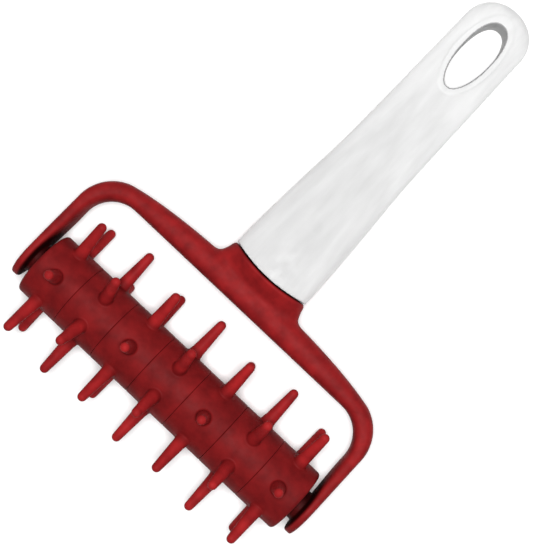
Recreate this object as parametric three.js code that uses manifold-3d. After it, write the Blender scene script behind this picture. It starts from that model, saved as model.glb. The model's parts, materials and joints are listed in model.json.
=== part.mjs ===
// A roller dough docker: seven pinned wheels on a square axle, carried by a one-piece
// yoke whose ribbed tongue is snapped into a hollow handle.
//
// Each piece is drawn in the tool's own frame, in millimetres: X along the axle, Y from
// the axle towards the end of the handle, Z out of the yoke's face. The tool is then
// tipped about the axle to lie as it does on a worktop, on its pins and its handle's end.

import * as THREE from 'three';
import { mergeVertices } from 'three/addons/utils/BufferGeometryUtils.js';
import Module from 'manifold-3d';

const wasm = await Module();
wasm.setup();

// ---------------------------------------------------------------- driving dimensions

const FREE_GAP = 0.3; // between pieces that would otherwise touch
const RUNNING_GAP = 0.1; // radial, between a journal and its socket

// Roller
const WHEEL_COUNT = 7;
const WHEEL_PITCH = 17.6;
const WHEEL_RADIUS = 12.8;
const WHEEL_EDGE = 0.3; // chamfer beside each seam
const ROLLER_EDGE = 1.3; // rounding of the roller's two ends
const PINS_PER_WHEEL = 6;
const PIN_REACH = 28.6; // from the axle's line to the tip of a pin
const PIN_ROOT_RADIUS = 2.75;
const PIN_ROOT_HEIGHT = 2; // over which the root narrows to the pin's shank
const PIN_SHANK_RADIUS = 2.4;
const PIN_TIP_RADIUS = 1.7;
const PIN_BURIED = 2; // length of the root inside the wheel

// Axle
const AXLE_SIDE = 6; // square, to key the wheels
const JOURNAL_RADIUS = 2.5;
const JOURNAL_END = 65.4;

// Yoke, seen in plan
const ARM_INNER_X = 64.2;
const ARM_OUTER_X = 68.3;
const ARM_EYE_RADIUS = 9.9; // rounded end of an arm, round the axle
const BAR_INNER_Y = 35.5;
const BAR_OUTER_Y = 46.1;
const BAR_HALF_DEPTH = 5.5;
const INNER_CORNER = { x: 50.4, y: 22.9, radius: 12.6, sweep: Math.PI / 2 };
const OUTER_CORNER = { x: 52.4, y: 26.3, radius: 15.9, sweep: 1.27 };
const BAR_BEND = 0.66; // where the bar's outer edge bends, as a share of its corner's x
const ARM_TIP_PINCH = 0.9; // how much each side of an arm draws in at its tip
const ARM_TIP_START = 0.17; // radians round an arm's end, just past the tip itself
const BOSS_RADIUS = 6;
const SOCKET_DEPTH = 3.9;
const NECK_BURIED = 2; // from the bar's inner edge to the neck's start

// Seam between neck and handle: an arc that bulges towards the roller
const SEAM_RADIUS = 56;
const SEAM_MIDDLE_Y = 49.9;
const SEAM_HALF_WIDTH = 16.5;
const SEAM_HALF_DEPTH = 10;
const SEAM_FADE = 0.2; // share of the grip over which the seam's bulge dies away

// Tongue inside the handle
const TONGUE_END_Y = 88;
const TONGUE_WEB = 3;
const TONGUE_RIB = 2;
const TONGUE_RIBS_Y = [58, 70, 84]; // the last one is the snap rib
const SNAP_RISE = 0.5;
const WEB_MARGIN = 1; // from the webs' edges to the hollow's wall

// Handle
const HANDLE_WALL = 2.6;
const CAVITY_END_Y = 136;
const CAVITY_TAPER = { length: 4, shrink: 0.6 }; // of the hollow's blind end
const PADDLE_HALF_DEPTH = 4.8;
const END_CENTRE_Y = 169;
const END_LENGTH = 11.9;
const END_SWEEP = 1.5; // radians of the rounded end, just short of the tip itself
const END_HALF_WIDTH = 13;

// Hang hole, with a flat land round it and a flat seat for a hook at its far end
const HOLE_CENTRE_Y = 158.8;
const HOLE_HALF_WIDTH = 6.05;
const HOLE_HALF_LENGTH = 15.4;
const HOOK_SEAT_Y = 172.6;
const LAND_WIDTH = 2.2;
const LAND_HALF_DEPTH = 5;

// Squareness of the sections: 2 is an ellipse, more is squarer
const ARM_SQUARENESS = 3.2;
const BAR_SQUARENESS = 2.5;
const GRIP_SQUARENESS = 2.4;
const PADDLE_SQUARENESS = 3.4;
const END_SQUARENESS = 2.2;
const SQUARE_FROM = 0.3; // share of the grip after which its sections turn squarer

// How far a cutter runs past the face that it opens
const CUT_PAST = 5;

// Sides that stand for a full turn, and steps along each stretch
const PIN_SIDES = 10;
const WHEEL_SIDES = 40;
const JOURNAL_SIDES = 24;
const BOSS_SIDES = 32;
const BOW_SIDES = 18;
const OVAL_SIDES = 32;
const HOLE_SIDES = 40;
const STEPS = { dome: 2, tip: 6, arm: 3, corner: 7, bar: 6, neck: 12, grip: 14, end: 8 };

// ------------------------------------------------------------------------- utilities

const lerp = THREE.MathUtils.lerp;
const smoothstep = THREE.MathUtils.smoothstep;

/** The numbers 0 to 1 in equal steps, both ends included. */
function steps(count) {
  return Array.from({ length: count + 1 }, (_, i) => i / count);
}

/** Points round a superellipse. */
function superellipse(halfWidth, halfDepth, squareness, count) {
  const bend = (value) => Math.sign(value) * Math.abs(value) ** (2 / squareness);
  return Array.from({ length: count }, (_, i) => {
    const angle = (2 * Math.PI * (i + 0.5)) / count;
    return new THREE.Vector2(halfWidth * bend(Math.cos(angle)), halfDepth * bend(Math.sin(angle)));
  });
}

/** A closed skin through rings of equally many points, with a fan over each end. */
function loft(rings) {
  const around = rings[0].length;
  const centre = (ring) => ring.reduce((sum, p) => sum.add(p), new THREE.Vector3()).divideScalar(around);
  const points = [...rings.flat(), centre(rings[0]), centre(rings.at(-1))];
  const lastRing = (rings.length - 1) * around;
  const [startCentre, endCentre] = [points.length - 2, points.length - 1];
  const index = [];
  for (let j = 0; j < around; j += 1) {
    const next = (j + 1) % around;
    for (let start = 0; start < lastRing; start += around) {
      const [a, b, c, d] = [start + j, start + next, start + around + next, start + around + j];
      index.push(a, b, c, a, c, d);
    }
    index.push(startCentre, next, j);
    index.push(endCentre, lastRing + j, lastRing + next);
  }
  const geometry = new THREE.BufferGeometry().setFromPoints(points);
  geometry.setIndex(signedVolume(points, index) < 0 ? index.reverse() : index);
  return geometry;
}

function signedVolume(points, index) {
  let volume = 0;
  for (let i = 0; i < index.length; i += 3) {
    const [a, b, c] = [points[index[i]], points[index[i + 1]], points[index[i + 2]]];
    volume += a.dot(new THREE.Vector3().crossVectors(b, c)) / 6;
  }
  return volume;
}

/** A manifold-3d solid of a closed geometry. */
function toSolid(geometry) {
  const bare = geometry.clone();
  bare.deleteAttribute('normal');
  bare.deleteAttribute('uv');
  const welded = mergeVertices(bare);
  const triangles = [];
  for (let i = 0; i < welded.index.count; i += 3) {
    const corners = [0, 1, 2].map((k) => welded.index.getX(i + k));
    if (new Set(corners).size === 3) triangles.push(...corners);
  }
  const vertProperties = Float32Array.from(welded.attributes.position.array);
  const triVerts = Uint32Array.from(triangles);
  return new wasm.Manifold(new wasm.Mesh({ numProp: 3, vertProperties, triVerts }));
}

function toGeometry(solid) {
  const { vertProperties, triVerts } = solid.getMesh();
  const geometry = new THREE.BufferGeometry();
  geometry.setAttribute('position', new THREE.BufferAttribute(vertProperties, 3));
  geometry.setIndex(new THREE.BufferAttribute(triVerts, 1));
  geometry.computeVertexNormals();
  return geometry;
}

const join = (solids) => solids.reduce((whole, solid) => whole.add(solid));
const cut = (solid, tools) => tools.reduce((rest, tool) => rest.subtract(tool), solid);

/** A box from its lowest to its highest corner. */
function boxBetween(low, high) {
  const size = high.map((value, k) => value - low[k]);
  const middle = high.map((value, k) => (value + low[k]) / 2);
  return new THREE.BoxGeometry(...size).translate(...middle);
}

/** A round bar along X from one x to another. */
function roundBarX(radius, fromX, toX, segments) {
  const bar = new THREE.CylinderGeometry(radius, radius, toX - fromX, segments);
  return bar.rotateZ(-Math.PI / 2).translate((fromX + toX) / 2, 0, 0);
}

// ---------------------------------------------------------------------------- roller

/** One pin, standing on the wheel's axis and pointing along +Z. */
function pinGeometry() {
  const domeCentre = PIN_REACH - PIN_TIP_RADIUS;
  const profile = [
    new THREE.Vector2(0, WHEEL_RADIUS - PIN_BURIED),
    new THREE.Vector2(PIN_ROOT_RADIUS, WHEEL_RADIUS - PIN_BURIED),
    new THREE.Vector2(PIN_ROOT_RADIUS, WHEEL_RADIUS),
    new THREE.Vector2(PIN_SHANK_RADIUS, WHEEL_RADIUS + PIN_ROOT_HEIGHT),
  ];
  for (const t of steps(STEPS.dome)) {
    const angle = (t * Math.PI) / 2;
    const out = PIN_TIP_RADIUS * Math.cos(angle);
    profile.push(new THREE.Vector2(t === 1 ? 0 : out, domeCentre + PIN_TIP_RADIUS * Math.sin(angle)));
  }
  return new THREE.LatheGeometry(profile, PIN_SIDES).rotateX(Math.PI / 2);
}

/** The wheel's body about X, with its own edge on each side. */
function wheelBody(halfWidth, lowEdge, highEdge) {
  const profile = [
    new THREE.Vector2(0, -halfWidth),
    new THREE.Vector2(WHEEL_RADIUS - lowEdge, -halfWidth),
    new THREE.Vector2(WHEEL_RADIUS, lowEdge - halfWidth),
    new THREE.Vector2(WHEEL_RADIUS, halfWidth - highEdge),
    new THREE.Vector2(WHEEL_RADIUS - highEdge, halfWidth),
    new THREE.Vector2(0, halfWidth),
  ];
  return new THREE.LatheGeometry(profile, WHEEL_SIDES).rotateZ(-Math.PI / 2);
}

/**
 * Wheel number `index`, counted from 0 at the low-x end. All have the same square bore,
 * and every second wheel sits a quarter turn on, which puts its pins half a step round.
 */
function dockerWheel(index) {
  const halfWidth = (WHEEL_PITCH - FREE_GAP) / 2;
  const isFirst = index === 0;
  const isLast = index === WHEEL_COUNT - 1;
  const body = wheelBody(halfWidth, isFirst ? ROLLER_EDGE : WHEEL_EDGE, isLast ? ROLLER_EDGE : WHEEL_EDGE);
  const pins = Array.from({ length: PINS_PER_WHEEL }, (_, k) => {
    const turn = (2 * Math.PI * k) / PINS_PER_WHEEL + (index % 2 ? Math.PI / 2 : 0);
    return toSolid(pinGeometry().rotateX(turn));
  });
  const boreHalf = AXLE_SIDE / 2 + FREE_GAP;
  const bore = boxBetween([-WHEEL_PITCH, -boreHalf, -boreHalf], [WHEEL_PITCH, boreHalf, boreHalf]);
  const wheel = toGeometry(cut(join([toSolid(body), ...pins]), [toSolid(bore)]));
  return wheel.translate((index - (WHEEL_COUNT - 1) / 2) * WHEEL_PITCH, 0, 0);
}

const ROLLER_END_X = (WHEEL_COUNT * WHEEL_PITCH - FREE_GAP) / 2;

function axle() {
  const half = AXLE_SIDE / 2;
  const square = boxBetween([-ROLLER_END_X, -half, -half], [ROLLER_END_X, half, half]);
  const journals = roundBarX(JOURNAL_RADIUS, -JOURNAL_END, JOURNAL_END, JOURNAL_SIDES);
  return toGeometry(join([toSolid(square), toSolid(journals)]));
}

// ------------------------------------------------------------------------------ yoke

/** Depth of an arm: round at its end, and narrowing from the axle to the corner. */
function armHalfDepth(y) {
  if (y < 0) return Math.sqrt(ARM_EYE_RADIUS ** 2 - y ** 2);
  return lerp(ARM_EYE_RADIUS, BAR_HALF_DEPTH, smoothstep(y, 0, BAR_INNER_Y));
}

/** A point on a corner's arc, a part `t` of the way along its sweep. */
function onCorner({ x, y, radius, sweep }, t) {
  return new THREE.Vector2(x + radius * Math.cos(sweep * t), y + radius * Math.sin(sweep * t));
}

/**
 * Sections of one half of the bow, from an arm's end to the middle of the bar. Each has
 * a point on the inner and on the outer outline, its half depth and its squareness.
 */
function bowSections() {
  const sections = [];
  const add = (inner, outer, halfDepth, squareness) => sections.push({ inner, outer, halfDepth, squareness });
  const arm = (innerY, outerY, pinch) => {
    const thicken = smoothstep(innerY, 0, INNER_CORNER.y);
    const innerX = lerp(ARM_INNER_X, INNER_CORNER.x + INNER_CORNER.radius, thicken);
    const inner = new THREE.Vector2(innerX + pinch, innerY);
    const outer = new THREE.Vector2(ARM_OUTER_X - pinch, outerY);
    add(inner, outer, armHalfDepth(innerY), ARM_SQUARENESS);
  };
  for (const t of steps(STEPS.tip)) {
    const angle = lerp(ARM_TIP_START, Math.PI / 2, t);
    const y = -ARM_EYE_RADIUS * Math.cos(angle);
    arm(y, y, ARM_TIP_PINCH * (1 - Math.sin(angle)));
  }
  for (const t of steps(STEPS.arm).slice(1)) {
    arm(INNER_CORNER.y * t, OUTER_CORNER.y * t, 0);
  }
  for (const t of steps(STEPS.corner).slice(1)) {
    const inner = onCorner(INNER_CORNER, t);
    add(inner, onCorner(OUTER_CORNER, t), armHalfDepth(inner.y), lerp(ARM_SQUARENESS, BAR_SQUARENESS, t));
  }
  const { inner, outer } = sections.at(-1);
  const outerEdge = new THREE.QuadraticBezierCurve(
    outer,
    new THREE.Vector2(outer.x * BAR_BEND, BAR_OUTER_Y),
    new THREE.Vector2(0, BAR_OUTER_Y),
  );
  for (const t of steps(STEPS.bar).slice(1)) {
    const onInner = new THREE.Vector2(inner.x * (1 - t), BAR_INNER_Y);
    add(onInner, outerEdge.getPoint(t), BAR_HALF_DEPTH, BAR_SQUARENESS);
  }
  return sections;
}

/** The bar and both arms, as one bent bar. */
function bow() {
  const half = bowSections();
  const ring = ({ inner, outer, halfDepth, squareness }, side) => {
    const middle = inner.clone().add(outer).multiplyScalar(0.5);
    const across = outer.clone().sub(inner).multiplyScalar(0.5);
    return superellipse(1, halfDepth, squareness, BOW_SIDES).map(
      (p) => new THREE.Vector3(side * (middle.x + across.x * p.x), middle.y + across.y * p.x, p.y),
    );
  };
  const right = half.map((section) => ring(section, 1));
  const left = half.slice(0, -1).map((section) => ring(section, -1));
  return loft([...left, ...right.reverse()]);
}

/** The seam's place along Y at one x. */
function seamY(x) {
  return SEAM_MIDDLE_Y + SEAM_RADIUS - Math.sqrt(SEAM_RADIUS ** 2 - x ** 2);
}

/**
 * The neck flares out of the bar and ends in the handle's oval, along the seam's arc.
 * Its outline's points are the part of the way along, the half width and the half depth.
 */
function neck() {
  const startY = BAR_INNER_Y + NECK_BURIED;
  const outline = new THREE.CatmullRomCurve3([
    new THREE.Vector3(0, 25.5, 3.6),
    new THREE.Vector3(0.36, 23, 5),
    new THREE.Vector3(0.56, 18.6, 6.4),
    new THREE.Vector3(0.7, 17.6, 8),
    new THREE.Vector3(0.85, 17, 9.5),
    new THREE.Vector3(1, SEAM_HALF_WIDTH, SEAM_HALF_DEPTH),
  ]);
  const rings = steps(STEPS.neck).map((t) => {
    const { x: along, y: halfWidth, z: halfDepth } = outline.getPoint(t);
    return superellipse(halfWidth, halfDepth, GRIP_SQUARENESS, OVAL_SIDES).map(
      (p) => new THREE.Vector3(p.x, lerp(startY, seamY(p.x), along), p.y),
    );
  });
  return loft(rings);
}

/** Half width and half depth of the handle's hollow at one y. */
function cavityHalfSize(y) {
  const up = (y - SEAM_MIDDLE_Y) / (CAVITY_END_Y - SEAM_MIDDLE_Y);
  return {
    width: lerp(SEAM_HALF_WIDTH, END_HALF_WIDTH, up) - HANDLE_WALL,
    depth: lerp(SEAM_HALF_DEPTH, PADDLE_HALF_DEPTH, up) - HANDLE_WALL,
  };
}

/** A plate across the handle's hollow, grown by `rise` over the hollow's own outline. */
function cavityPlate(y, thickness, rise) {
  const { width, depth } = cavityHalfSize(y);
  const ring = superellipse(width + rise, depth + rise, GRIP_SQUARENESS, OVAL_SIDES);
  return loft([-0.5, 0.5].map((end) => ring.map((p) => new THREE.Vector3(p.x, y + end * thickness, p.y))));
}

/** Two crossed webs and the ribs that fill the handle's hollow, the last one snapped in. */
function tongue() {
  const web = TONGUE_WEB / 2;
  const { width, depth } = cavityHalfSize(TONGUE_END_Y);
  const reach = { width: width - WEB_MARGIN, depth: depth - WEB_MARGIN };
  const rootY = SEAM_MIDDLE_Y - TONGUE_WEB;
  const pieces = [
    boxBetween([-reach.width, rootY, -web], [reach.width, TONGUE_END_Y, web]),
    boxBetween([-web, rootY, -reach.depth], [web, TONGUE_END_Y, reach.depth]),
    ...TONGUE_RIBS_Y.map((y, i) => {
      const isSnap = i === TONGUE_RIBS_Y.length - 1;
      return cavityPlate(y, TONGUE_RIB, isSnap ? SNAP_RISE - FREE_GAP : -FREE_GAP);
    }),
  ];
  return join(pieces.map(toSolid));
}

/** The bow, the neck and the tongue, with a boss and a blind socket inside each arm. */
function yoke() {
  const bossFaceX = ROLLER_END_X + FREE_GAP;
  const socketEndX = bossFaceX + SOCKET_DEPTH;
  const onBothSides = (radius, fromX, toX, segments) =>
    [roundBarX(radius, fromX, toX, segments), roundBarX(radius, -toX, -fromX, segments)].map(toSolid);
  const bosses = onBothSides(BOSS_RADIUS, bossFaceX, (ARM_INNER_X + ARM_OUTER_X) / 2, BOSS_SIDES);
  const sockets = onBothSides(JOURNAL_RADIUS + RUNNING_GAP, bossFaceX - CUT_PAST, socketEndX, JOURNAL_SIDES);
  return toGeometry(cut(join([toSolid(bow()), toSolid(neck()), tongue(), ...bosses]), sockets));
}

// ---------------------------------------------------------------------------- handle

/**
 * The handle's skin, from the seam to its rounded end. The grip's points are the place
 * along Y, the half width and the half depth.
 */
function handleSkin() {
  const grip = new THREE.CatmullRomCurve3([
    new THREE.Vector3(seamY(SEAM_HALF_WIDTH) + FREE_GAP, SEAM_HALF_WIDTH, SEAM_HALF_DEPTH),
    new THREE.Vector3(64, 16.3, 10.1),
    new THREE.Vector3(84, 15.3, 9.5),
    new THREE.Vector3(104, 14, 8.2),
    new THREE.Vector3(124, 13.5, 6.2),
    new THREE.Vector3(142, 13.3, PADDLE_HALF_DEPTH),
    new THREE.Vector3(END_CENTRE_Y, END_HALF_WIDTH, PADDLE_HALF_DEPTH),
  ]);
  const seamRise = seamY(SEAM_HALF_WIDTH) - SEAM_MIDDLE_Y;
  const sections = steps(STEPS.grip).map((t) => {
    const { x: y, y: halfWidth, z: halfDepth } = grip.getPoint(t);
    const bulge = 1 - smoothstep(t, 0, SEAM_FADE);
    const squareness = lerp(GRIP_SQUARENESS, PADDLE_SQUARENESS, smoothstep(t, SQUARE_FROM, 1));
    return { y, halfWidth, halfDepth, bulge, squareness };
  });
  const roundFromY = END_CENTRE_Y + END_LENGTH - PADDLE_HALF_DEPTH;
  for (const t of steps(STEPS.end).slice(1)) {
    const angle = t * END_SWEEP;
    const y = END_CENTRE_Y + END_LENGTH * Math.sin(angle);
    const beyond = Math.max(0, y - roundFromY) / PADDLE_HALF_DEPTH;
    sections.push({
      y,
      halfWidth: END_HALF_WIDTH * Math.cos(angle),
      halfDepth: PADDLE_HALF_DEPTH * Math.sqrt(1 - beyond ** 2),
      bulge: 0,
      squareness: lerp(PADDLE_SQUARENESS, END_SQUARENESS, t),
    });
  }
  const rings = sections.map(({ y, halfWidth, halfDepth, bulge, squareness }) =>
    superellipse(halfWidth, halfDepth, squareness, OVAL_SIDES).map((p) => {
      const drop = bulge * (seamRise - (seamY(p.x) - SEAM_MIDDLE_Y));
      return new THREE.Vector3(p.x, y - drop, p.y);
    }),
  );
  return loft(rings);
}

/** The hollow, open at the seam, with the groove for the tongue's snap rib. */
function cavity() {
  const { length, shrink: endShrink } = CAVITY_TAPER;
  const rings = [SEAM_MIDDLE_Y - CUT_PAST, CAVITY_END_Y - length, CAVITY_END_Y].map((y) => {
    const { width, depth } = cavityHalfSize(y);
    const shrink = y === CAVITY_END_Y ? endShrink : 1;
    const ring = superellipse(width * shrink, depth * shrink, GRIP_SQUARENESS, OVAL_SIDES);
    return ring.map((p) => new THREE.Vector3(p.x, y, p.y));
  });
  const groove = cavityPlate(TONGUE_RIBS_Y.at(-1), TONGUE_RIB + 2 * FREE_GAP, SNAP_RISE);
  return join([toSolid(loft(rings)), toSolid(groove)]);
}

/** An upright oval prism, cut off flat at `flatY` where that is given. */
function ovalPrism(halfWidth, halfLength, halfHeight, flatY = Infinity) {
  const outline = Array.from({ length: HOLE_SIDES }, (_, i) => {
    const angle = (2 * Math.PI * i) / HOLE_SIDES;
    const y = HOLE_CENTRE_Y + halfLength * Math.sin(angle);
    return new THREE.Vector2(halfWidth * Math.cos(angle), Math.min(y, flatY));
  });
  const extrusion = { depth: 2 * halfHeight, bevelEnabled: false };
  return new THREE.ExtrudeGeometry(new THREE.Shape(outline), extrusion).translate(0, 0, -halfHeight);
}

function handle() {
  const land = ovalPrism(HOLE_HALF_WIDTH + LAND_WIDTH, HOLE_HALF_LENGTH + LAND_WIDTH, LAND_HALF_DEPTH);
  const hole = ovalPrism(HOLE_HALF_WIDTH, HOLE_HALF_LENGTH, LAND_HALF_DEPTH + CUT_PAST, HOOK_SEAT_Y);
  const skin = join([toSolid(handleSkin()), toSolid(land)]);
  return toGeometry(cut(skin, [cavity(), toSolid(hole)]));
}

// -------------------------------------------------------------------------- assembly

const RED_PLASTIC = { color: 0x8e2428, roughness: 0.38, metalness: 0 };
const WHITE_PLASTIC = { color: 0xeeeeec, roughness: 0.32, metalness: 0 };
const STEEL = { color: 0xb9bcc0, roughness: 0.3, metalness: 1 };

function piece(name, geometry, look) {
  const mesh = new THREE.Mesh(geometry, new THREE.MeshStandardMaterial(look));
  mesh.name = name;
  return mesh;
}

/** The tip that sets the lowest pins and the land's far edge on one level surface. */
function restingTip() {
  const landEdgeY = HOLE_CENTRE_Y + HOLE_HALF_LENGTH + LAND_WIDTH;
  const drop = PIN_REACH - PIN_TIP_RADIUS - LAND_HALF_DEPTH;
  return Math.atan2(drop, landEdgeY) + Math.asin(PIN_TIP_RADIUS / Math.hypot(drop, landEdgeY));
}

const tool = new THREE.Group();
tool.add(piece('yoke', yoke(), RED_PLASTIC));
tool.add(piece('handle', handle(), WHITE_PLASTIC));
tool.add(piece('axle', axle(), STEEL));
for (let index = 0; index < WHEEL_COUNT; index += 1) {
  tool.add(piece(`docker_wheel_${index + 1}`, dockerWheel(index), RED_PLASTIC));
}
tool.rotation.x = -restingTip();

// The origin is in the middle of the footprint, on the surface that the tool lies on.
const box = new THREE.Box3().setFromObject(tool, true);
tool.position.set(0, -(box.min.y + box.max.y) / 2, -box.min.z);

const dockingRoller = new THREE.Group();
dockingRoller.add(tool);

export default dockingRoller;
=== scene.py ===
"""A roller dough docker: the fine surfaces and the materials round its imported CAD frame.

Shapes are drawn in the tool's own frame, in millimetres, and then put in place in metres.
In the tool's frame X runs along the axle, Y from the axle to the end of the handle, and Z
out of the yoke's face. The tool itself lies on the floor on its pins and its handle's end.
"""

import json
import math
from collections import namedtuple

import bmesh
import bpy
import numpy as np
from mathutils import Matrix, Vector


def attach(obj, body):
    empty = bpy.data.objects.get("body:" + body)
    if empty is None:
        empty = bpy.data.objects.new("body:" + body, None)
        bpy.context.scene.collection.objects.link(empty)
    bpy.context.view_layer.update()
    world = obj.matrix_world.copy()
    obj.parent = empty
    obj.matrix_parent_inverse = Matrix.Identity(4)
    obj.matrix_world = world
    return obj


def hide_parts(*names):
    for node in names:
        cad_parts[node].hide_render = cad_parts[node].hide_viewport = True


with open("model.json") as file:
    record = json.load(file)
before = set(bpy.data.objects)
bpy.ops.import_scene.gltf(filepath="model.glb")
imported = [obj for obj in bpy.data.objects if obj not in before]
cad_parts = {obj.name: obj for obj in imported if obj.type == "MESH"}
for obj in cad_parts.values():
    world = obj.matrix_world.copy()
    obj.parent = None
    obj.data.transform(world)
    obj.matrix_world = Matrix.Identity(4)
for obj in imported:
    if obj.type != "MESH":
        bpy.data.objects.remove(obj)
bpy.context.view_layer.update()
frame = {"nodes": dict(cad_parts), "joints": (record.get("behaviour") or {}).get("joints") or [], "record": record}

# ---------------------------------------------------------------------- the tool's frame

MM = 0.001
MOUNTS = {mount["name"]: mount for mount in frame["record"]["mounts"]}
AXLE_POINT = Vector(frame["joints"][0]["pos_m"])
ACROSS = Vector(frame["joints"][0]["axis"])
ALONG = -Vector(MOUNTS["hook_seat"]["axis"])
OUTWARD = Vector(MOUNTS["hole_land_front"]["axis"])
TURN = Matrix((ACROSS, ALONG, OUTWARD)).transposed()
TOOL = Matrix.Translation(AXLE_POINT) @ TURN.to_4x4() @ Matrix.Scale(MM, 4)


def cad_points(node):
    """A CAD node's vertices in the tool's frame, in millimetres."""
    to_tool = TOOL.inverted()
    return np.array([to_tool @ vertex.co for vertex in frame["nodes"][node].data.vertices])


def in_tool(point):
    """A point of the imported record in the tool's frame, in millimetres."""
    return TOOL.inverted() @ Vector(point)


WHEELS = sorted(node for node in frame["nodes"] if node.startswith("docker_wheel"))
SEAT = in_tool(MOUNTS["hook_seat"]["pos_m"])
LAND = in_tool(MOUNTS["hole_land_front"]["pos_m"])

# ------------------------------------------------------------------- driving dimensions

# Lengths are in millimetres and angles in radians, in the tool's frame
FREE_GAP = 0.3  # between pieces that stand clear of each other
RUNNING_GAP = 0.1  # round a journal in its socket

# Roller
WHEEL_RADIUS = 12.8
WHEEL_EDGE = 0.3  # the rounding of the edges that face another wheel
WHEEL_SIDE_GAP = 0.02  # on each side of a wheel, so that neighbours all but touch
ROLLER_EDGE = 1.3  # the rounding of the roller's two ends
PINS_PER_WHEEL = 6
PIN_REACH = cad_points(WHEELS[0])[:, 2].max()
PIN_ROOT_RADIUS = 2.75
PIN_ROOT_HEIGHT = 2
PIN_SHANK_RADIUS = 2.4
PIN_TIP_RADIUS = 1.7
PIN_FILLET = 0.8
BORE_HALF = 3.3

# Axle
AXLE_HALF = 3
JOURNAL_RADIUS = 2.5
AXLE_CHAMFER = 0.4

# Yoke
Corner = namedtuple("Corner", "x y radius sweep")
ARM_INNER_X = 64.2
ARM_OUTER_X = cad_points("yoke")[:, 0].max()
ARM_EYE_RADIUS = 9.9
BAR_INNER_Y = 35.5
BAR_OUTER_Y = 46.1
BAR_HALF_DEPTH = 5.5
BAR_BEND = 0.66  # where the bar's outer edge bends, as a share of its end's x
INNER_CORNER = Corner(50.4, 22.9, 12.6, math.pi / 2)
OUTER_CORNER = Corner(52.4, 26.3, 15.9, 1.27)
ARM_TIP_PINCH = 0.9
ARM_TIP_START = 0.17  # the angle round the arm's eye at which its sections begin
BOSS_RADIUS = 6
SOCKET_DEPTH = 3.9

# Seam, tongue and handle
SEAM_RADIUS = 56
SEAM_MIDDLE_Y = 49.9
SEAM_HALF_WIDTH = 16.5
SEAM_HALF_DEPTH = 10
SEAM_ROUND = 0.8  # how far the neck's rim rolls in beside the handle
SEAM_FADE = 0.2  # the share of the grip over which the seam's curve dies out
NECK_BURIED = 2  # how deep in the bar the neck begins
TONGUE_END_Y = 88
TONGUE_WEB = 3
TONGUE_RIB = 2
TONGUE_RIBS_Y = (58, 70, 84)
SNAP_RISE = 0.5
WEB_MARGIN = 1
HANDLE_WALL = 2.6
CAVITY_END_Y = 136
CAVITY_TAPER_LENGTH = 4
CAVITY_TAPER = 0.6  # the size that is left at the hollow's end
PADDLE_HALF_DEPTH = 4.8
SQUARE_FROM = 0.3  # the share of the grip from which its sections grow squarer
END_CENTRE_Y = 169
END_LENGTH = 11.9
END_HALF_WIDTH = 13
END_SWEEP = 1.5  # nearly a quarter turn, so that the last section keeps a width
HOLE_CENTRE_Y = LAND.y
HOLE_HALF_WIDTH = 6.05
HOLE_HALF_LENGTH = 15.4
HOLE_FAR_LENGTH = SEAT.y - HOLE_CENTRE_Y
HOLE_EDGE = 0.4
LAND_WIDTH = 2.2
LAND_HALF_DEPTH = LAND.z
CUT_BEFORE = 5  # how far the hollow's cutter begins before the seam
CUT_OVER = 1  # how far the hole's cutter stands over the lands

# Squareness of the sections
ELLIPSE = 2
ARM_SQUARENESS = 3.2
BAR_SQUARENESS = 2.5
NECK_SQUARENESS = 3.6
GRIP_SQUARENESS = 2.4
PADDLE_SQUARENESS = 3.4
END_SQUARENESS = 2.2
SEAT_SQUARENESS = 2.3

# Fineness of the meshes
RING_POINTS = 96
BOW_RING_POINTS = 64
BAR_RING_POINTS = 64
AXLE_RING_POINTS = 48
STEPS = {
    "cell_along": 14,
    "cell_round": 12,
    "cell_to_pin": 5,
    "pin_fillet": 5,
    "pin_shank": 12,
    "pin_dome": 6,
    "wheel_edge": 5,
    "arm_tip": 24,
    "arm": 12,
    "corner": 28,
    "bar": 24,
    "neck": 48,
    "grip": 90,
    "end": 40,
    "hole_edge": 8,
}
WHEEL_SIDE_RINGS = (0.4, 1)  # shares of the way from the wheel's rim to its bore
WELD_DISTANCE = 1e-4
LEAST_NORMAL = 1e-9  # a length that is safe to divide by
VOXEL = 0.35
SOFTENING = 0.5
SOFTENING_ROUNDS = 3
FILLET_LOW = (-40, 34, -14)  # the box that the fillet round the neck grows in
FILLET_HIGH = (40, 52, 14)
FILLET_ROUNDS = 100
FILLET_STEP = 0.5
FILLET_ONSET = 6  # how steeply the fillet sets in from the sides of its box

# Marks on the meshes' points, which the materials read
PIN_HEIGHT = "pin_height"
HOLE_WALL = "hole_wall"

# ---------------------------------------------------------------------------- utilities


def lerp(a, b, t):
    return a + (b - a) * t


def smoothstep(value, low, high):
    t = min(max((value - low) / (high - low), 0), 1)
    return t * t * (3 - 2 * t)


def steps(count):
    """The numbers 0 to 1 in equal steps, both ends included."""
    return [i / count for i in range(count + 1)]


def full_turn(count, offset=0):
    """Angles in equal steps round a circle, moved on by a share of one step."""
    return [2 * math.pi * (i + offset) / count for i in range(count)]


def catmull_rom(points, t):
    """A point on a smooth curve through the given ones, t from 0 to 1 over equal spans."""
    points = np.array(points, float)
    spans = len(points) - 1
    i = min(int(t * spans), spans - 1)
    u = t * spans - i
    before = points[i - 1] if i > 0 else 2 * points[0] - points[1]
    after = points[i + 2] if i + 2 <= spans else 2 * points[-1] - points[-2]
    a, b = points[i], points[i + 1]
    slope_a, slope_b = (b - before) / 2, (after - a) / 2
    curve = (2 * u**3 - 3 * u**2 + 1) * a + (u**3 - 2 * u**2 + u) * slope_a
    return curve + (3 * u**2 - 2 * u**3) * b + (u**3 - u**2) * slope_b


def superellipse(half_width, half_depth, squareness, count=RING_POINTS):
    """A closed outline: an ellipse at squareness 2, and squarer with more."""

    def bend(value):
        return math.copysign(abs(value) ** (2 / squareness), value)

    angles = full_turn(count, 0.5)
    return [(half_width * bend(math.cos(a)), half_depth * bend(math.sin(a))) for a in angles]


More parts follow.
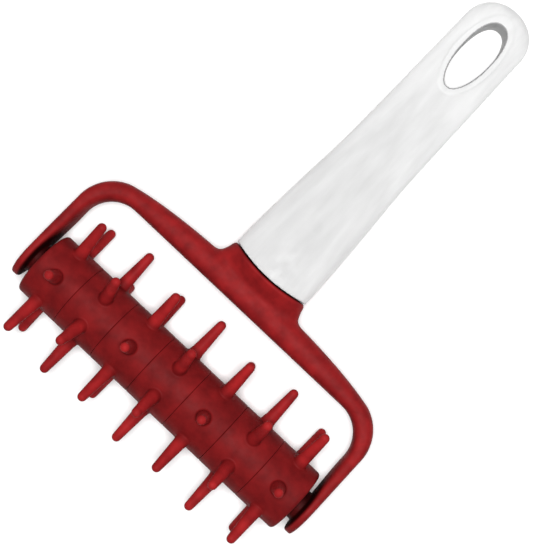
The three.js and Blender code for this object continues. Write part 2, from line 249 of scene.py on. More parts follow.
class Shell:
    """Vertices and faces of one or more closed bodies, in the tool's frame."""

    def __init__(self):
        self.points = []
        self.faces = []

    def add_points(self, points):
        first = len(self.points)
        self.points.extend(tuple(p) for p in points)
        return list(range(first, len(self.points)))

    def bridge(self, ring_a, ring_b):
        count = len(ring_a)
        for i in range(count):
            j = (i + 1) % count
            self.faces.append((ring_a[i], ring_a[j], ring_b[j], ring_b[i]))

    def fan(self, ring, centre):
        apex = self.add_points([centre])[0]
        for i in range(len(ring)):
            self.faces.append((ring[i], ring[(i + 1) % len(ring)], apex))

    def skin(self, rings):
        """An open body through rings of equally many points, which it gives back in place."""
        placed = [self.add_points(ring) for ring in rings]
        for ring_a, ring_b in zip(placed, placed[1:]):
            self.bridge(ring_a, ring_b)
        return placed

    def loft(self, rings):
        """A closed body through rings of equally many points."""
        placed = self.skin(rings)
        self.fan(placed[0], np.mean(rings[0], axis=0))
        self.fan(placed[-1], np.mean(rings[-1], axis=0))

    def box(self, low, high):
        corners = [(low[0], low[1]), (high[0], low[1]), (high[0], high[1]), (low[0], high[1])]
        self.loft([[(x, y, z) for x, y in corners] for z in (low[2], high[2])])

    def bar_x(self, radius, from_x, to_x):
        """A round bar along X."""
        angles = full_turn(BAR_RING_POINTS)
        circle = [(radius * math.cos(a), radius * math.sin(a)) for a in angles]
        self.loft([[(x, y, z) for y, z in circle] for x in (from_x, to_x)])

    def to_object(self, name):
        """An object that is still in the tool's frame, with its faces pointing out."""
        mesh = bpy.data.meshes.new(name)
        mesh.from_pydata(self.points, [], self.faces)
        bm = bmesh.new()
        bm.from_mesh(mesh)
        bmesh.ops.remove_doubles(bm, verts=bm.verts, dist=WELD_DISTANCE)
        bmesh.ops.recalc_face_normals(bm, faces=bm.faces)
        bm.to_mesh(mesh)
        bm.free()
        obj = bpy.data.objects.new(name, mesh)
        bpy.context.scene.collection.objects.link(obj)
        return obj


def apply_modifiers(obj):
    """Replaces an object's mesh by its modified one."""
    graph = bpy.context.evaluated_depsgraph_get()
    mesh = bpy.data.meshes.new_from_object(obj.evaluated_get(graph), depsgraph=graph)
    old = obj.data
    obj.modifiers.clear()
    obj.data = mesh
    bpy.data.meshes.remove(old)


def cut_away(obj, cutter):
    """Cuts a closed shell out of an object, and deletes the shell's object."""
    modifier = obj.modifiers.new("cut", "BOOLEAN")
    modifier.operation = "DIFFERENCE"
    modifier.solver = "EXACT"
    modifier.object = cutter
    apply_modifiers(obj)
    bpy.data.objects.remove(cutter)


def fuse(obj):
    """Runs overlapping shells together into one moulding with softly rounded edges."""
    remesh = obj.modifiers.new("fuse", "REMESH")
    remesh.mode = "VOXEL"
    remesh.voxel_size = VOXEL
    smooth = obj.modifiers.new("soften", "SMOOTH")
    smooth.factor = SOFTENING
    smooth.iterations = SOFTENING_ROUNDS
    apply_modifiers(obj)


def vertex_normals(places, faces, count):
    """Unit normals of a mesh of four-sided faces."""
    corners = places[faces]
    area = np.cross(corners[:, 2] - corners[:, 0], corners[:, 3] - corners[:, 1])
    normals = np.zeros((count, 3))
    for corner in range(4):
        for axis in range(3):
            normals[:, axis] += np.bincount(faces[:, corner], area[:, axis], count)
    lengths = np.linalg.norm(normals, axis=1, keepdims=True)
    return normals / np.maximum(lengths, LEAST_NORMAL)


def fill_creases(obj):
    """Grows a fillet in the inner corners round the neck, and leaves the outer edges alone.

    Each point moves towards the middle of its neighbours, but never into the body.
    """
    mesh = obj.data
    count = len(mesh.vertices)
    places = np.array([vertex.co for vertex in mesh.vertices])
    faces = np.array([face.vertices for face in mesh.polygons])
    edges = np.array([edge.vertices for edge in mesh.edges])
    degree = np.bincount(edges.ravel(), minlength=count)
    low, high = np.array(FILLET_LOW), np.array(FILLET_HIGH)
    middle, reach = (low + high) / 2, (high - low) / 2
    inside = 1 - np.max(np.abs(places - middle) / reach, axis=1)
    share = np.clip(inside * FILLET_ONSET, 0, 1)[:, None]
    for _ in range(FILLET_ROUNDS):
        total = np.zeros((count, 3))
        for axis in range(3):
            total[:, axis] += np.bincount(edges[:, 0], places[edges[:, 1], axis], count)
            total[:, axis] += np.bincount(edges[:, 1], places[edges[:, 0], axis], count)
        pull = total / degree[:, None] - places
        normals = vertex_normals(places, faces, count)
        outward = np.sum(pull * normals, axis=1, keepdims=True)
        inward = np.minimum(outward, 0)
        places += share * FILLET_STEP * (pull - normals * inward)
    mesh.vertices.foreach_set("co", places.ravel())
    mesh.update()


def put_in_place(obj, material, body, node):
    """Moves a finished piece from the tool's frame to its place, and has it ride there."""
    obj.data.materials.clear()
    obj.data.materials.append(material)
    obj.data.transform(TOOL)
    obj.data.shade_smooth()
    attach(obj, body)
    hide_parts(node)


# ------------------------------------------------------------------------------- camera

CAMERA_EYE = Vector((15.2, 33.6, 461.1))  # in the tool's frame, as the target is
CAMERA_TARGET = Vector((-1.2, 51.5, 0))
CAMERA_ROLL = math.radians(43.35)
CAMERA_LENS = 85.7
SENSOR_WIDTH = 36
CLIP_START = 0.01  # in metres


def add_camera():
    data = bpy.data.cameras.new("camera")
    data.lens = CAMERA_LENS
    data.sensor_width = SENSOR_WIDTH
    data.clip_start = CLIP_START
    camera = bpy.data.objects.new("camera", data)
    back = (CAMERA_EYE - CAMERA_TARGET).normalized()
    right = Vector((0, 1, 0)).cross(back).normalized()
    upright = Matrix((right, back.cross(right), back)).transposed()
    turned = TURN @ upright @ Matrix.Rotation(CAMERA_ROLL, 3, "Z")
    camera.matrix_world = Matrix.Translation(TOOL @ CAMERA_EYE) @ turned.to_4x4()
    bpy.context.scene.collection.objects.link(camera)
    bpy.context.scene.camera = camera


# ------------------------------------------------------------------------------- roller


def pin_radius(height):
    """A pin's radius at one height over the wheel."""
    shank_length = PIN_REACH - PIN_TIP_RADIUS - WHEEL_RADIUS - PIN_ROOT_HEIGHT
    if height < PIN_ROOT_HEIGHT:
        return lerp(PIN_ROOT_RADIUS, PIN_SHANK_RADIUS, height / PIN_ROOT_HEIGHT)
    return lerp(PIN_SHANK_RADIUS, PIN_TIP_RADIUS, (height - PIN_ROOT_HEIGHT) / shank_length)


def cell_outline(low_x, high_x):
    """The outline of one pin's share of the wheel's face: x, and distance across it."""
    half_angle = math.pi / PINS_PER_WHEEL
    angles = [lerp(-half_angle, half_angle, t) for t in steps(STEPS["cell_round"])]
    across = [WHEEL_RADIUS * math.sin(a) for a in angles]
    along = [lerp(low_x, high_x, t) for t in steps(STEPS["cell_along"])]
    sides = [(high_x, v) for v in across[:-1]]
    sides += [(u, across[-1]) for u in reversed(along[1:])]
    sides += [(low_x, v) for v in reversed(across[1:])]
    sides += [(u, across[0]) for u in along[:-1]]
    return sides


def face_rings(outline, angles, foot):
    """Rings on the wheel's face, from the cell's outline in to the circle of the pin's foot."""
    rings = []
    for t in steps(STEPS["cell_to_pin"]):
        near = [
            (lerp(u, foot * math.cos(a), t), lerp(v, foot * math.sin(a), t))
            for (u, v), a in zip(outline, angles)
        ]
        rings.append([(u, v, math.sqrt(WHEEL_RADIUS**2 - v**2)) for u, v in near])
    return rings


def pin_rings(outline):
    """Rings from the cell's outline, over the wheel's face and up the pin to its dome."""
    angles = [math.atan2(v, u) for u, v in outline]

    def circle(radius, heights):
        return [(radius * math.cos(a), radius * math.sin(a), z) for a, z in zip(angles, heights)]

    foot = pin_radius(PIN_FILLET) + PIN_FILLET
    rings = face_rings(outline, angles, foot)
    level = [z for _, _, z in rings[-1]]
    for t in steps(STEPS["pin_fillet"])[1:]:
        turn = t * math.pi / 2
        lift = PIN_FILLET * (1 - math.cos(turn))
        rings.append(circle(foot - PIN_FILLET * math.sin(turn), [z + lift for z in level]))
    root = [z for _, _, z in rings[-1]]
    top = PIN_REACH - PIN_TIP_RADIUS
    for t in steps(STEPS["pin_shank"])[1:]:
        radius = pin_radius(lerp(PIN_FILLET, top - WHEEL_RADIUS, t))
        rings.append(circle(radius, [lerp(z, top, t) for z in root]))
    for t in steps(STEPS["pin_dome"])[1:-1]:
        turn = t * math.pi / 2
        z = top + PIN_TIP_RADIUS * math.sin(turn)
        rings.append(circle(PIN_TIP_RADIUS * math.cos(turn), [z] * len(angles)))
    return rings


def square_point(angle, half):
    """A point on a square at one angle from its middle."""
    y, z = math.sin(angle), math.cos(angle)
    scale = half / max(abs(y), abs(z))
    return y * scale, z * scale


def towards_bore(angle, radius, t):
    """A point on the way from a circle to the square bore, at one angle."""
    y, z = square_point(angle, BORE_HALF)
    return lerp(radius * math.sin(angle), y, t), lerp(radius * math.cos(angle), z, t)


def wheel_side_rings(side, edge, half_width):
    """Rings over a wheel's rounded edge and its flat side, as far as the bore."""
    angles = full_turn(PINS_PER_WHEEL * STEPS["cell_round"])
    rings = []
    for t in steps(STEPS["wheel_edge"]):
        turn = t * math.pi / 2
        radius = WHEEL_RADIUS - edge * (1 - math.cos(turn))
        x = side * (half_width - edge * (1 - math.sin(turn)))
        rings.append([(x, radius * math.sin(a), radius * math.cos(a)) for a in angles])
    for t in WHEEL_SIDE_RINGS:
        x = side * half_width
        rings.append([(x, *towards_bore(a, WHEEL_RADIUS - edge, t)) for a in angles])
    return rings


def wheel_shell(low_edge, high_edge, half_width):
    """One wheel about X with its first pin along Z, and its own edge rounding on each side."""
    shell = Shell()
    cell = pin_rings(cell_outline(low_edge - half_width, half_width - high_edge))
    for k in range(PINS_PER_WHEEL):
        turn = Matrix.Rotation(2 * math.pi * k / PINS_PER_WHEEL, 3, "X")
        placed = shell.skin([[turn @ Vector(p) for p in ring] for ring in cell])
        shell.fan(placed[-1], turn @ Vector((0, 0, PIN_REACH)))
    low_side = shell.skin(wheel_side_rings(-1, low_edge, half_width))
    high_side = shell.skin(wheel_side_rings(1, high_edge, half_width))
    shell.bridge(low_side[-1], high_side[-1])
    return shell


def mark_pins(mesh):
    """Notes how far up a pin each vertex is: below 0 on the wheel's body, 1 at the tip."""
    height = mesh.attributes.new(PIN_HEIGHT, "FLOAT", "POINT")
    for vertex, mark in zip(mesh.vertices, height.data):
        out = math.hypot(vertex.co.y, vertex.co.z)
        mark.value = (out - WHEEL_RADIUS) / (PIN_REACH - WHEEL_RADIUS)


def add_wheel(index, material):
    """One wheel in the place of its CAD node.

    Every second one sits a quarter turn round on the square axle, which puts its six pins
    half a step on from its neighbours'.
    """
    node = WHEELS[index]
    points = cad_points(node)
    low_x, high_x = points[:, 0].min(), points[:, 0].max()
    low_edge = ROLLER_EDGE if index == 0 else WHEEL_EDGE
    high_edge = ROLLER_EDGE if index == len(WHEELS) - 1 else WHEEL_EDGE
    half_width = (high_x - low_x + FREE_GAP) / 2 - WHEEL_SIDE_GAP
    obj = wheel_shell(low_edge, high_edge, half_width).to_object(f"fine_{node}")
    if index % 2:
        obj.data.transform(Matrix.Rotation(math.pi / 2, 4, "X"))
    mark_pins(obj.data)
    obj.data.transform(Matrix.Translation(((low_x + high_x) / 2, 0, 0)))
    put_in_place(obj, material, "roller", node)


def add_axle(material):
    """A square bar with round journals, all its ends chamfered."""
    points = cad_points("axle")
    end_x = points[:, 0].max()
    square_x = points[np.abs(points[:, 1]) > JOURNAL_RADIUS + FREE_GAP][:, 0].max()
    angles = full_turn(AXLE_RING_POINTS, 0.5)

    def square(x, half):
        return [(x, *square_point(a, half)) for a in angles]

    def circle(x, radius):
        return [(x, radius * math.sin(a), radius * math.cos(a)) for a in angles]

    half_rings = [
        circle(end_x, JOURNAL_RADIUS - AXLE_CHAMFER),
        circle(end_x - AXLE_CHAMFER, JOURNAL_RADIUS),
        circle(square_x, JOURNAL_RADIUS),
        square(square_x, AXLE_HALF - AXLE_CHAMFER),
        square(square_x - AXLE_CHAMFER, AXLE_HALF),
    ]
    mirrored = [[(-x, y, z) for x, y, z in ring] for ring in reversed(half_rings)]
    shell = Shell()
    shell.loft(half_rings + mirrored)
    put_in_place(shell.to_object("fine_axle"), material, "roller", "axle")


# --------------------------------------------------------------------------------- yoke


def arm_half_depth(y):
    """The arm's half depth: a round eye about the axle that narrows towards the bar."""
    if y < 0:
        return math.sqrt(ARM_EYE_RADIUS**2 - y**2)
    return lerp(ARM_EYE_RADIUS, BAR_HALF_DEPTH, smoothstep(y, 0, BAR_INNER_Y))


def on_corner(corner, t):
    """A point on a corner's arc, from the arm at 0 to the bar at 1."""
    turn = corner.sweep * t
    x = corner.x + corner.radius * math.cos(turn)
    return np.array((x, corner.y + corner.radius * math.sin(turn)))


def bow_sections():
    """Sections of half the bow, each an inner and an outer point, half depth and squareness."""
    sections = []

    def arm(inner_y, outer_y, pinch):
        thicken = smoothstep(inner_y, 0, INNER_CORNER.y)
        inner_x = lerp(ARM_INNER_X, INNER_CORNER.x + INNER_CORNER.radius, thicken)
        inner = np.array((inner_x + pinch, inner_y))
        outer = np.array((ARM_OUTER_X - pinch, outer_y))
        sections.append((inner, outer, arm_half_depth(inner_y), ARM_SQUARENESS))

    for t in steps(STEPS["arm_tip"]):
        angle = lerp(ARM_TIP_START, math.pi / 2, t)
        y = -ARM_EYE_RADIUS * math.cos(angle)
        arm(y, y, ARM_TIP_PINCH * (1 - math.sin(angle)))
    for t in steps(STEPS["arm"])[1:]:
        arm(INNER_CORNER.y * t, OUTER_CORNER.y * t, 0)
    for t in steps(STEPS["corner"])[1:]:
        inner, outer = on_corner(INNER_CORNER, t), on_corner(OUTER_CORNER, t)
        squareness = lerp(ARM_SQUARENESS, BAR_SQUARENESS, t)
        sections.append((inner, outer, arm_half_depth(inner[1]), squareness))
    inner, outer = sections[-1][:2]
    bend = np.array((outer[0] * BAR_BEND, BAR_OUTER_Y))
    middle = np.array((0, BAR_OUTER_Y))
    for t in steps(STEPS["bar"])[1:]:
        on_outer = (1 - t) ** 2 * outer + 2 * t * (1 - t) * bend + t**2 * middle
        on_inner = np.array((inner[0] * (1 - t), BAR_INNER_Y))
        sections.append((on_inner, on_outer, BAR_HALF_DEPTH, BAR_SQUARENESS))
    return sections


def bow_rings():
    """Rings along the whole bow, from the tip of one arm to the tip of the other."""

    def ring(section, side):
        inner, outer, half_depth, squareness = section
        (x, y), (x_part, y_part) = (inner + outer) / 2, (outer - inner) / 2
        flat = superellipse(1, half_depth, squareness, BOW_RING_POINTS)
        return [(side * (x + x_part * u), y + y_part * u, z) for u, z in flat]

    half = bow_sections()
    left = [ring(section, -1) for section in half[:-1]]
    return left + [ring(section, 1) for section in reversed(half)]


def seam_y(x):
    """The seam between neck and handle, an arc that bulges towards the roller."""
    return SEAM_MIDDLE_Y + SEAM_RADIUS - math.sqrt(SEAM_RADIUS**2 - x**2)


NECK_OUTLINE = (  # part of the way to the seam, half width, half depth
    (0, 25.5, 3.6),
    (0.36, 22.7, 4.6),
    (0.56, 19, 6),
    (0.7, 17.9, 7.6),
    (0.84, 17.2, 9.2),
    (0.93, SEAM_HALF_WIDTH + 0.4, SEAM_HALF_DEPTH - 0.1),
    (1, SEAM_HALF_WIDTH - SEAM_ROUND / 2, SEAM_HALF_DEPTH - SEAM_ROUND),
)


def neck_rings():
    """Rings from inside the bar to the seam."""
    start_y = BAR_INNER_Y + NECK_BURIED
    rings = []
    for t in steps(STEPS["neck"]):
        along, half_width, half_depth = catmull_rom(NECK_OUTLINE, t)
        squareness = lerp(NECK_SQUARENESS, GRIP_SQUARENESS, along)
        flat = superellipse(half_width, half_depth, squareness)
        rings.append([(x, lerp(start_y, seam_y(x), along), z) for x, z in flat])
    return rings


def cavity_half_size(y):
    """Half width and half depth of the handle's hollow at one y."""
    up = (y - SEAM_MIDDLE_Y) / (CAVITY_END_Y - SEAM_MIDDLE_Y)
    width = lerp(SEAM_HALF_WIDTH, END_HALF_WIDTH, up) - HANDLE_WALL
    depth = lerp(SEAM_HALF_DEPTH, PADDLE_HALF_DEPTH, up) - HANDLE_WALL
    return width, depth


def cavity_plate(y, thickness, rise):
    """Both rings of a plate across the hollow, with its edge past the hollow's wall by a rise."""
    width, depth = cavity_half_size(y)
    flat = superellipse(width + rise, depth + rise, GRIP_SQUARENESS)
    return [[(x, y + end * thickness, z) for x, z in flat] for end in (-0.5, 0.5)]


def add_tongue(shell):
    """Two crossed webs, and ribs that fill the handle's hollow, the last one snapped in."""
    web = TONGUE_WEB / 2
    width, depth = (size - WEB_MARGIN for size in cavity_half_size(TONGUE_END_Y))
    root_y = SEAM_MIDDLE_Y - TONGUE_WEB
    shell.box((-width, root_y, -web), (width, TONGUE_END_Y, web))
    shell.box((-web, root_y, -depth), (web, TONGUE_END_Y, depth))
    for y in TONGUE_RIBS_Y:
        rise = SNAP_RISE if y == TONGUE_RIBS_Y[-1] else 0
        shell.loft(cavity_plate(y, TONGUE_RIB, rise - FREE_GAP))


def add_yoke(material):
    """The bow, neck, tongue and bosses in one moulding, with a blind socket in each boss."""
    roller_end_x = cad_points(WHEELS[-1])[:, 0].max()
    boss_face_x = roller_end_x + FREE_GAP
    boss_root_x = (ARM_INNER_X + ARM_OUTER_X) / 2
    socket_radius = JOURNAL_RADIUS + RUNNING_GAP
    socket_end_x = boss_face_x + SOCKET_DEPTH
    shell = Shell()
    shell.loft(bow_rings())
    shell.loft(neck_rings())
    add_tongue(shell)
    sockets = Shell()
    for side in (-1, 1):
        shell.bar_x(BOSS_RADIUS, side * boss_face_x, side * boss_root_x)
        sockets.bar_x(socket_radius, side * roller_end_x, side * socket_end_x)
    obj = shell.to_object("fine_yoke")
    fuse(obj)
    fill_creases(obj)
    cut_away(obj, sockets.to_object("sockets"))
    put_in_place(obj, material, "frame", "yoke")


# ------------------------------------------------------------------------------- handle

GRIP_OUTLINE = (  # along the tool, half width, half depth
    (seam_y(SEAM_HALF_WIDTH) + FREE_GAP, SEAM_HALF_WIDTH, SEAM_HALF_DEPTH),
    (64, 16.3, 10.1),
    (84, 15.3, 9.5),
    (104, 14, 8.2),
    (124, 13.5, 6.2),
    (142, 13.3, PADDLE_HALF_DEPTH),
    (END_CENTRE_Y, END_HALF_WIDTH, PADDLE_HALF_DEPTH),
)


def handle_rings():
    """The handle's skin, from the seam to its rounded end."""
    seam_edge_y = seam_y(SEAM_HALF_WIDTH)
    rings = []
    for t in steps(STEPS["grip"]):
        y, half_width, half_depth = catmull_rom(GRIP_OUTLINE, t)
        bulge = 1 - smoothstep(t, 0, SEAM_FADE)
        squareness = lerp(GRIP_SQUARENESS, PADDLE_SQUARENESS, smoothstep(t, SQUARE_FROM, 1))
        flat = superellipse(half_width, half_depth, squareness)
        rings.append([(x, y - bulge * (seam_edge_y - seam_y(x)), z) for x, z in flat])
    round_from_y = END_CENTRE_Y + END_LENGTH - PADDLE_HALF_DEPTH
    for t in steps(STEPS["end"])[1:]:
        angle = t * END_SWEEP
        y = END_CENTRE_Y + END_LENGTH * math.sin(angle)
        beyond = max(0, y - round_from_y) / PADDLE_HALF_DEPTH
        flat = superellipse(
            END_HALF_WIDTH * math.cos(angle),
            PADDLE_HALF_DEPTH * math.sqrt(1 - beyond**2),
            lerp(PADDLE_SQUARENESS, END_SQUARENESS, t),
        )
        rings.append([(x, y, z) for x, z in flat])
    return rings


def cavity_rings():
    """The cutter for the handle's hollow, which narrows at its far end."""
    rings = []
    for y, shrink in (
        (SEAM_MIDDLE_Y - CUT_BEFORE, 1),
        (CAVITY_END_Y - CAVITY_TAPER_LENGTH, 1),
        (CAVITY_END_Y, CAVITY_TAPER),
    ):
        width, depth = cavity_half_size(y)
        flat = superellipse(width * shrink, depth * shrink, GRIP_SQUARENESS)
        rings.append([(x, y, z) for x, z in flat])
    return rings


def oval_ring(grow, z, far_length=HOLE_HALF_LENGTH, far_squareness=ELLIPSE):
    """An oval round the hang hole's middle, grown, with a far end of its own shape."""
    near = superellipse(HOLE_HALF_WIDTH + grow, HOLE_HALF_LENGTH + grow, ELLIPSE)
    far = superellipse(HOLE_HALF_WIDTH + grow, far_length + grow, far_squareness)
    half = len(near) // 2
    return [(x, HOLE_CENTRE_Y + y, z) for x, y in far[:half] + near[half:]]


def hole_rings():
    """The hang hole's cutter, with a flare that rounds the hole's edge on both faces."""
    front = [oval_ring(HOLE_EDGE, LAND_HALF_DEPTH + CUT_OVER, HOLE_FAR_LENGTH, SEAT_SQUARENESS)]
    for t in steps(STEPS["hole_edge"]):
        turn = t * math.pi / 2
        flare = HOLE_EDGE * (1 - math.sin(turn))
        z = LAND_HALF_DEPTH - HOLE_EDGE * (1 - math.cos(turn))
        front.append(oval_ring(flare, z, HOLE_FAR_LENGTH, SEAT_SQUARENESS))
    back = [[(x, y, -z) for x, y, z in ring] for ring in reversed(front)]
    return front + back


def mark_hole(mesh):
    """Notes which vertices lie on the hang hole's wall: 1 on it, 0 elsewhere."""
    wall = mesh.attributes.new(HOLE_WALL, "FLOAT", "POINT")
    near_end = (HOLE_HALF_LENGTH, ELLIPSE)
    far_end = (HOLE_FAR_LENGTH, SEAT_SQUARENESS)
    for vertex, mark in zip(mesh.vertices, wall.data):
        length, power = far_end if vertex.co.y > HOLE_CENTRE_Y else near_end
        x = abs(vertex.co.x) / (HOLE_HALF_WIDTH + HOLE_EDGE)
        y = abs(vertex.co.y - HOLE_CENTRE_Y) / (length + HOLE_EDGE)
        mark.value = float(x**power + y**power < 1)


def add_handle(material):
    """The grip and its raised lands, less the hollow, the snap groove and the hang hole."""
    shell = Shell()
    shell.loft(handle_rings())
    shell.loft([oval_ring(LAND_WIDTH, z) for z in (-LAND_HALF_DEPTH, LAND_HALF_DEPTH)])
    obj = shell.to_object("fine_handle")
    fuse(obj)
    groove_width = TONGUE_RIB + 2 * FREE_GAP
    for name, rings in (
        ("hollow", cavity_rings()),
        ("groove", cavity_plate(TONGUE_RIBS_Y[-1], groove_width, SNAP_RISE)),
        ("hang_hole", hole_rings()),
    ):
        cutter = Shell()
        cutter.loft(rings)
        cut_away(obj, cutter.to_object(name))
    mark_hole(obj.data)
    put_in_place(obj, material, "frame", "handle")


# ---------------------------------------------------------------------------- materials

RED_SHADES = ((0.145, 0.0065, 0.0075), (0.245, 0.011, 0.012))
WHITE_SHADES = ((0.63, 0.63, 0.63), (0.72, 0.72, 0.72))
STEEL_SHADES = ((0.42, 0.43, 0.45), (0.6, 0.61, 0.63))
FLOOR_SHADES = ((0.95, 0.95, 0.95), (0.97, 0.97, 0.97))
NOISE_SPREAD = (0.3, 0.7)  # most of the noise lies between these
PIN_FOOT = (0.02, 0.2)  # the heights up a pin over which the painted shade on the wheel's body gives way to the painted light on the pin
HOLLOW_MIDDLE = (0.003, 0.02)  # distances from the handle's middle over which the painted shade fades, in metres
HOLLOW_FAR_SHARE = 0.1  # of the hollow's painted shade that is left at the hang hole
HOLLOW_PAINTED_SHADE = 0.69  # how much of the colour's brightness the painted shade leaves
# the brightness that the painted shade leaves on the hang hole's wall
HOLE_WALL_PAINTED_SHADE = 0.42


def new_material(name):
    """A material with one plain shader, and its node tree and that shader."""
    material = bpy.data.materials.new(name)
    material.use_nodes = True
    nodes = material.node_tree.nodes
    nodes.clear()
    output = nodes.new("ShaderNodeOutputMaterial")
    shader = nodes.new("ShaderNodeBsdfPrincipled")
    material.node_tree.links.new(shader.outputs["BSDF"], output.inputs["Surface"])
    return material, material.node_tree, shader


def noise(tree, scale, detail, stretch=(1, 1, 1)):
    """Noise of one scale in features per metre, with less of it along an axis under 1."""
    place = tree.nodes.new("ShaderNodeTexCoord")
    mapping = tree.nodes.new("ShaderNodeMapping")
    mapping.inputs["Scale"].default_value = stretch
    texture = tree.nodes.new("ShaderNodeTexNoise")
    texture.inputs["Scale"].default_value = scale
    texture.inputs["Detail"].default_value = detail
    tree.links.new(place.outputs["Object"], mapping.inputs["Vector"])
    tree.links.new(mapping.outputs["Vector"], texture.inputs["Vector"])
    return texture.outputs["Fac"]


def map_range(tree, value, source, target):
    """Maps a value from one range to another, and holds it at both ends."""
    node = tree.nodes.new("ShaderNodeMapRange")
    node.inputs["From Min"].default_value = source[0]
    node.inputs["From Max"].default_value = source[1]
    node.inputs["To Min"].default_value = target[0]
    node.inputs["To Max"].default_value = target[1]
    tree.links.new(value, node.inputs["Value"])
    return node.outputs["Result"]


def ramp(tree, value, low, high):
    """Spreads noise over a range of numbers."""
    return map_range(tree, value, NOISE_SPREAD, (low, high))


def mix_colours(tree, amount, colour_a, colour_b):
    node = tree.nodes.new("ShaderNodeMix")
    node.data_type = "RGBA"
    node.inputs["A"].default_value = (*colour_a, 1)
    node.inputs["B"].default_value = (*colour_b, 1)
    tree.links.new(amount, node.inputs["Factor"])
    return node.outputs["Result"]


def bump(tree, height, strength, distance, normal=None):
    node = tree.nodes.new("ShaderNodeBump")
    node.inputs["Strength"].default_value = strength
    node.inputs["Distance"].default_value = distance
    tree.links.new(height, node.inputs["Height"])
    if normal is not None:
        tree.links.new(normal, node.inputs["Normal"])
    return node.outputs["Normal"]


def marked(tree, name):
    """What a mesh's points are marked with, under one name."""
    node = tree.nodes.new("ShaderNodeAttribute")
    node.attribute_name = name
    return node.outputs["Fac"]


def scaled(tree, colour, amount):
    """A colour made darker or lighter."""
    node = tree.nodes.new("ShaderNodeVectorMath")
    node.operation = "SCALE"
    tree.links.new(colour, node.inputs[0])
    tree.links.new(amount, node.inputs["Scale"])
    return node.outputs["Vector"]


def painted_crease_shade(tree, reach, opening, darkest):
    """Painted shade: falls from 1 in the open to its darkest in creases and gaps, where shade falls."""
    corner = tree.nodes.new("ShaderNodeAmbientOcclusion")
    corner.inputs["Distance"].default_value = reach
    return map_range(tree, corner.outputs["AO"], opening, (darkest, 1))


def red_plastic(name, body_painted_shade=1, pin_painted_light=1, **crease_shade):
    """The same moulding compound on every red piece; painted shade darkens a wheel's body and painted light
    brightens its pins.
    """
    material, tree, shader = new_material(name)
    blotches = ramp(tree, noise(tree, scale=190, detail=6), 0, 1)
    colour = mix_colours(tree, blotches, *RED_SHADES)
    # painted shade on the wheels' bodies between the pins, painted light on the pins
    shade = map_range(tree, marked(tree, PIN_HEIGHT), PIN_FOOT, (body_painted_shade, pin_painted_light))
    colour = scaled(tree, colour, shade)
    # painted shade darkens the creases and the gaps between pieces
    colour = scaled(tree, colour, painted_crease_shade(tree, **crease_shade))
    tree.links.new(colour, shader.inputs["Base Color"])
    roughness = ramp(tree, noise(tree, scale=400, detail=5), low=0.5, high=0.62)
    tree.links.new(roughness, shader.inputs["Roughness"])
    shader.inputs["Specular IOR Level"].default_value = 0.05
    grain = bump(tree, noise(tree, scale=5000, detail=2), strength=0.12, distance=0.0002)
    swell = noise(tree, scale=160, detail=2)
    waves = bump(tree, swell, strength=0.2, distance=0.0004, normal=grain)
    tree.links.new(waves, shader.inputs["Normal"])
    return material


def painted_hollow_shade(tree):
    """Painted shade: greyer in the middle of the handle over its hollow, and less so towards the hang hole, so
    that the sides stay lighter.
    """
    position = tree.nodes.new("ShaderNodeTexCoord")
    place = tree.nodes.new("ShaderNodeSeparateXYZ")
    tree.links.new(position.outputs["Object"], place.inputs["Vector"])
    side = tree.nodes.new("ShaderNodeMath")
    side.operation = "ABSOLUTE"
    tree.links.new(place.outputs["X"], side.inputs[0])
    across = map_range(tree, side.outputs["Value"], HOLLOW_MIDDLE, (1, 0))
    rib_y, seat_y = ((TOOL @ Vector((0, y, 0))).y for y in (TONGUE_RIBS_Y[1], SEAT.y))
    along = map_range(tree, place.outputs["Y"], (rib_y, seat_y), (1, HOLLOW_FAR_SHARE))
    share = tree.nodes.new("ShaderNodeMath")
    share.operation = "MULTIPLY"
    tree.links.new(across, share.inputs[0])
    tree.links.new(along, share.inputs[1])
    return map_range(tree, share.outputs["Value"], (0, 1), (1, HOLLOW_PAINTED_SHADE))


def white_plastic():
    """A translucent moulding with streaks along it, painted shade over its middle, and painted shade on the wall
    of the hang hole.
    """
    material, tree, shader = new_material("white_plastic")
    streaks = ramp(tree, noise(tree, scale=260, detail=5, stretch=(1, 0.07, 1)), 0, 1)
    colour = mix_colours(tree, streaks, *WHITE_SHADES)
    # painted shade over the middle of the handle
    colour = scaled(tree, colour, painted_hollow_shade(tree))
    # painted shade darkens the hang hole's wall
    hole_wall_painted_shade = map_range(tree, marked(tree, HOLE_WALL), (0, 1), (1, HOLE_WALL_PAINTED_SHADE))
    colour = scaled(tree, colour, hole_wall_painted_shade)
    tree.links.new(colour, shader.inputs["Base Color"])
    roughness = ramp(tree, noise(tree, scale=300, detail=4), low=0.4, high=0.55)
    tree.links.new(roughness, shader.inputs["Roughness"])
    shader.inputs["Specular IOR Level"].default_value = 0.3
    shader.inputs["Subsurface Weight"].default_value = 0.6
    shader.inputs["Subsurface Radius"].default_value = (1, 1, 1)
    shader.inputs["Subsurface Scale"].default_value = 0.004
    grain = bump(tree, noise(tree, scale=4000, detail=2), strength=0.08, distance=0.0002)
    tree.links.new(grain, shader.inputs["Normal"])
    return material


def axle_steel():
    """Drawn steel, with fine lines along the bar."""
    material, tree, shader = new_material("axle_steel")
    drawn = ramp(tree, noise(tree, scale=900, detail=4, stretch=(0.03, 1, 1)), 0, 1)
    tree.links.new(mix_colours(tree, drawn, *STEEL_SHADES), shader.inputs["Base Color"])
    tree.links.new(ramp(tree, drawn, low=0.25, high=0.4), shader.inputs["Roughness"])
    shader.inputs["Metallic"].default_value = 1
    lines = bump(tree, drawn, strength=0.2, distance=0.0001)
    tree.links.new(lines, shader.inputs["Normal"])
    return material


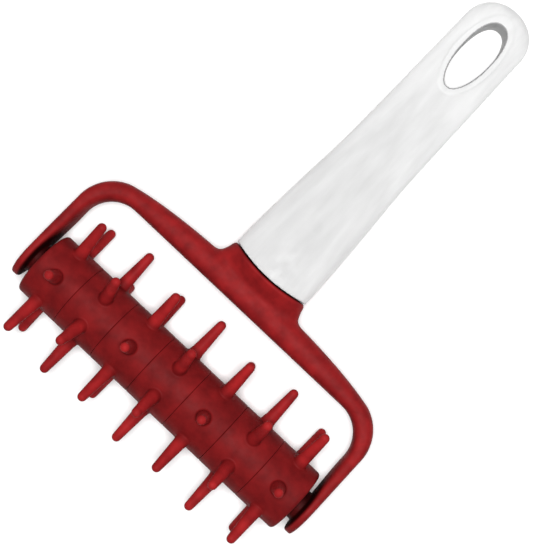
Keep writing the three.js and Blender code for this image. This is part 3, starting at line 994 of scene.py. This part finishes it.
def floor_material():
    material, tree, shader = new_material("floor")
    shade = ramp(tree, noise(tree, scale=12, detail=3), 0, 1)
    tree.links.new(mix_colours(tree, shade, *FLOOR_SHADES), shader.inputs["Base Color"])
    shader.inputs["Roughness"].default_value = 0.9
    shader.inputs["Specular IOR Level"].default_value = 0.1
    return material


# --------------------------------------------------------------------------- the studio

KEY_DISTANCE = 1.1  # in camera distances from the tool
KEY_SIZE = 0.12  # metres, as the floor's half size is
KEY_POWER = 3.25
SKY_STRENGTH = 0.32
FLOOR_HALF = 3


def add_floor():
    corners = [(x * FLOOR_HALF, y * FLOOR_HALF, 0) for x, y in ((-1, -1), (1, -1), (1, 1), (-1, 1))]
    mesh = bpy.data.meshes.new("floor")
    mesh.from_pydata(corners, [], [(0, 1, 2, 3)])
    mesh.materials.append(floor_material())
    floor = bpy.data.objects.new("floor", mesh)
    bpy.context.scene.collection.objects.link(floor)


def add_key_light():
    """A small disk beyond the camera, so that its shadows hide behind the tool."""
    data = bpy.data.lights.new("key", "AREA")
    data.shape = "DISK"
    data.size = KEY_SIZE
    data.energy = KEY_POWER
    light = bpy.data.objects.new("key", data)
    light.location = TOOL @ CAMERA_TARGET.lerp(CAMERA_EYE, KEY_DISTANCE)
    aim = TOOL @ CAMERA_TARGET - light.location
    light.rotation_euler = aim.to_track_quat("-Z", "Y").to_euler()
    bpy.context.scene.collection.objects.link(light)


def add_sky():
    world = bpy.data.worlds.new("studio")
    world.use_nodes = True
    background = world.node_tree.nodes["Background"]
    background.inputs["Color"].default_value = (1, 1, 1, 1)
    background.inputs["Strength"].default_value = SKY_STRENGTH
    bpy.context.scene.world = world
    bpy.context.scene.view_settings.view_transform = "Standard"


# ------------------------------------------------------------------------ the whole scene

add_camera()
add_floor()
add_key_light()
add_sky()
# the roller's red: painted shade on the wheels' bodies, painted light on the pins, and painted shade in its
# creases
roller_red = red_plastic(
    "roller_red", body_painted_shade=0.7, pin_painted_light=1.25, reach=0.005, opening=(0.15, 0.7), darkest=0.6
)
# the yoke's red carries deep painted shade in its creases and beside the roller
yoke_red = red_plastic("yoke_red", reach=0.012, opening=(0.35, 0.85), darkest=0.08)
for wheel in range(len(WHEELS)):
    add_wheel(wheel, roller_red)
add_axle(axle_steel())
add_yoke(yoke_red)
add_handle(white_plastic())
